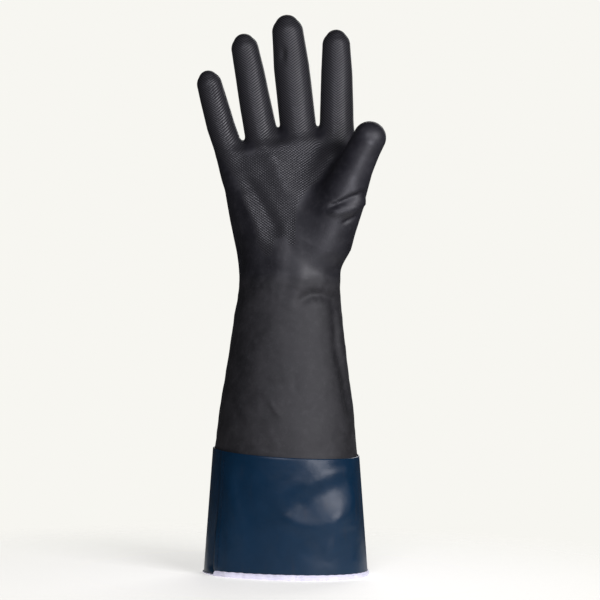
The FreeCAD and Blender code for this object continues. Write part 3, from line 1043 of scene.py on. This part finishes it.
def thread(name, dark, light):
    """Twisted sewing thread."""
    m = Nodes(name, 0.8, Specular_IOR_Level=0.15)
    rest = m.given("rest")
    twist = m.add("TexWave", {"Vector": rest, "Scale": 1.6, "Distortion": 0.4}, bands_direction="DIAGONAL")
    colour = m.ramp(twist.outputs["Fac"], (0.2, dark), (0.8, light))
    m.bumps((twist.outputs["Fac"], 0.6, 0.1))
    return m.paint(colour)


def build_materials():
    return {
        "rubber_shell": rubber(),
        "felt_insulation": felt(),
        "knit_lining": knit(),
        "coated_cloth": coated(),
        "cotton_backing": cotton(),
        "bond_adhesive": adhesive(),
        "hem_tape": tape(),
        "sewing_thread": thread("sewing_thread", (0.55, 0.54, 0.62), (0.80, 0.79, 0.86)),
        "dark_thread": thread("dark_thread", (0.002, 0.007, 0.018), (0.006, 0.016, 0.036)),
    }


# ---- floor, light and camera ----
BACKGROUND = (0.930, 0.922, 0.880)
CAMERA_AIM = Vector((0.0070, 0.0, 0.2236))       # the point that the picture is centred on
CAMERA_DISTANCE = 1.8
VIEW_WIDTH = 0.490                               # width of the view at the object
CAMERA_ROLL = math.radians(1.18)


def build_camera():
    data = bpy.data.cameras.new("camera")
    data.sensor_width = 36.0
    data.lens = data.sensor_width * CAMERA_DISTANCE / VIEW_WIDTH
    camera = add_object("camera", data)
    place = CAMERA_AIM - Vector((0, CAMERA_DISTANCE, 0))
    turn = Matrix.Rotation(math.pi / 2, 4, "X") @ Matrix.Rotation(CAMERA_ROLL, 4, "Z")
    camera.matrix_world = Matrix.Translation(place) @ turn
    bpy.context.scene.camera = camera


FLOOR_GLOW = 0.42                                # what the floor lacks to be as light as the backdrop


def build_floor():
    """A pale floor whose far part fades into the backdrop."""
    mesh = bpy.data.meshes.new("floor")
    shape = bmesh.new()
    bmesh.ops.create_circle(shape, cap_ends=True, segments=64, radius=3.0)
    shape.to_mesh(mesh)
    shape.free()
    floor = add_object("floor", mesh)
    m = Nodes("floor", 0.9, Emission_Color=(*BACKGROUND, 1), Emission_Strength=FLOOR_GLOW)
    place = m.add("TexCoord").outputs["Object"]
    away = m.add("VectorMath", {0: place}, operation="LENGTH").outputs["Value"]
    far = m.window(away, 0.10, 0.40)
    clear = m.add("BsdfTransparent").outputs[0]
    blend = m.add("MixShader", {0: far, 1: m.shader.outputs[0], 2: clear})
    m.tree.links.new(blend.outputs[0], m.tree.nodes["Material Output"].inputs["Surface"])
    m.shader.inputs["Base Color"].default_value = (*BACKGROUND, 1)
    mesh.materials.append(m.material)


def build_world(strength):
    """A pale backdrop to the camera, and an even dimmer light for the object."""
    world = bpy.data.worlds.new("studio")
    bpy.context.scene.world = world
    world.use_nodes = True
    tree = world.node_tree
    tree.nodes.clear()
    seen = tree.nodes.new("ShaderNodeBackground")
    seen.inputs["Color"].default_value = (*BACKGROUND, 1)
    lit = tree.nodes.new("ShaderNodeBackground")
    lit.inputs["Color"].default_value = (0.95, 0.96, 1.0, 1)
    lit.inputs["Strength"].default_value = strength
    path = tree.nodes.new("ShaderNodeLightPath")
    mix = tree.nodes.new("ShaderNodeMixShader")
    out = tree.nodes.new("ShaderNodeOutputWorld")
    tree.links.new(path.outputs["Is Camera Ray"], mix.inputs[0])
    tree.links.new(lit.outputs[0], mix.inputs[1])
    tree.links.new(seen.outputs[0], mix.inputs[2])
    tree.links.new(mix.outputs[0], out.inputs["Surface"])


COOL, COOLER = (0.95, 0.94, 1.0), (0.91, 0.90, 1.0)


def add_light(name, kind, place, aim, power, colour):
    """A light that the camera does not see, aimed at a point."""
    data = bpy.data.lights.new(name, kind)
    data.energy = power
    data.color = colour
    light = add_object(name, data)
    light.visible_camera = False
    light.location = place
    light.rotation_euler = (Vector(aim) - Vector(place)).to_track_quat("-Z", "Y").to_euler()
    return data


def add_box(name, place, size, power, colour):
    """A soft box that faces the middle of the object."""
    box = add_light(name, "AREA", place, (0, 0, 0.24), power, colour)
    box.shape = "RECTANGLE"
    box.size, box.size_y = size


def build_lights():
    add_box("key", (-0.20, -1.65, 0.80), (0.6, 0.45), 12, COOLER)
    add_box("side", (0.95, -1.25, 0.55), (0.9, 0.9), 24, COOL)
    spot = add_light("hand", "SPOT", (0.12, -0.48, 0.0), (0.030, -0.03, 0.42), 10.0, COOLER)
    spot.spot_size = math.radians(31)
    spot.spot_blend = 1.0
    spot.shadow_soft_size = 0.07
    add_box("right", (1.8, -0.5, 0.5), (0.5, 1.3), 2, COOL)
    add_box("rear", (0.4, 1.6, 1.0), (1.2, 1.0), 14, (1, 1, 1))


def main():
    bpy.context.scene.view_settings.view_transform = "Standard"
    build_camera()
    build_floor()
    build_world(0.05)
    build_lights()
    materials = build_materials()
    build_hand(materials)
    build_cuff(materials)


main()
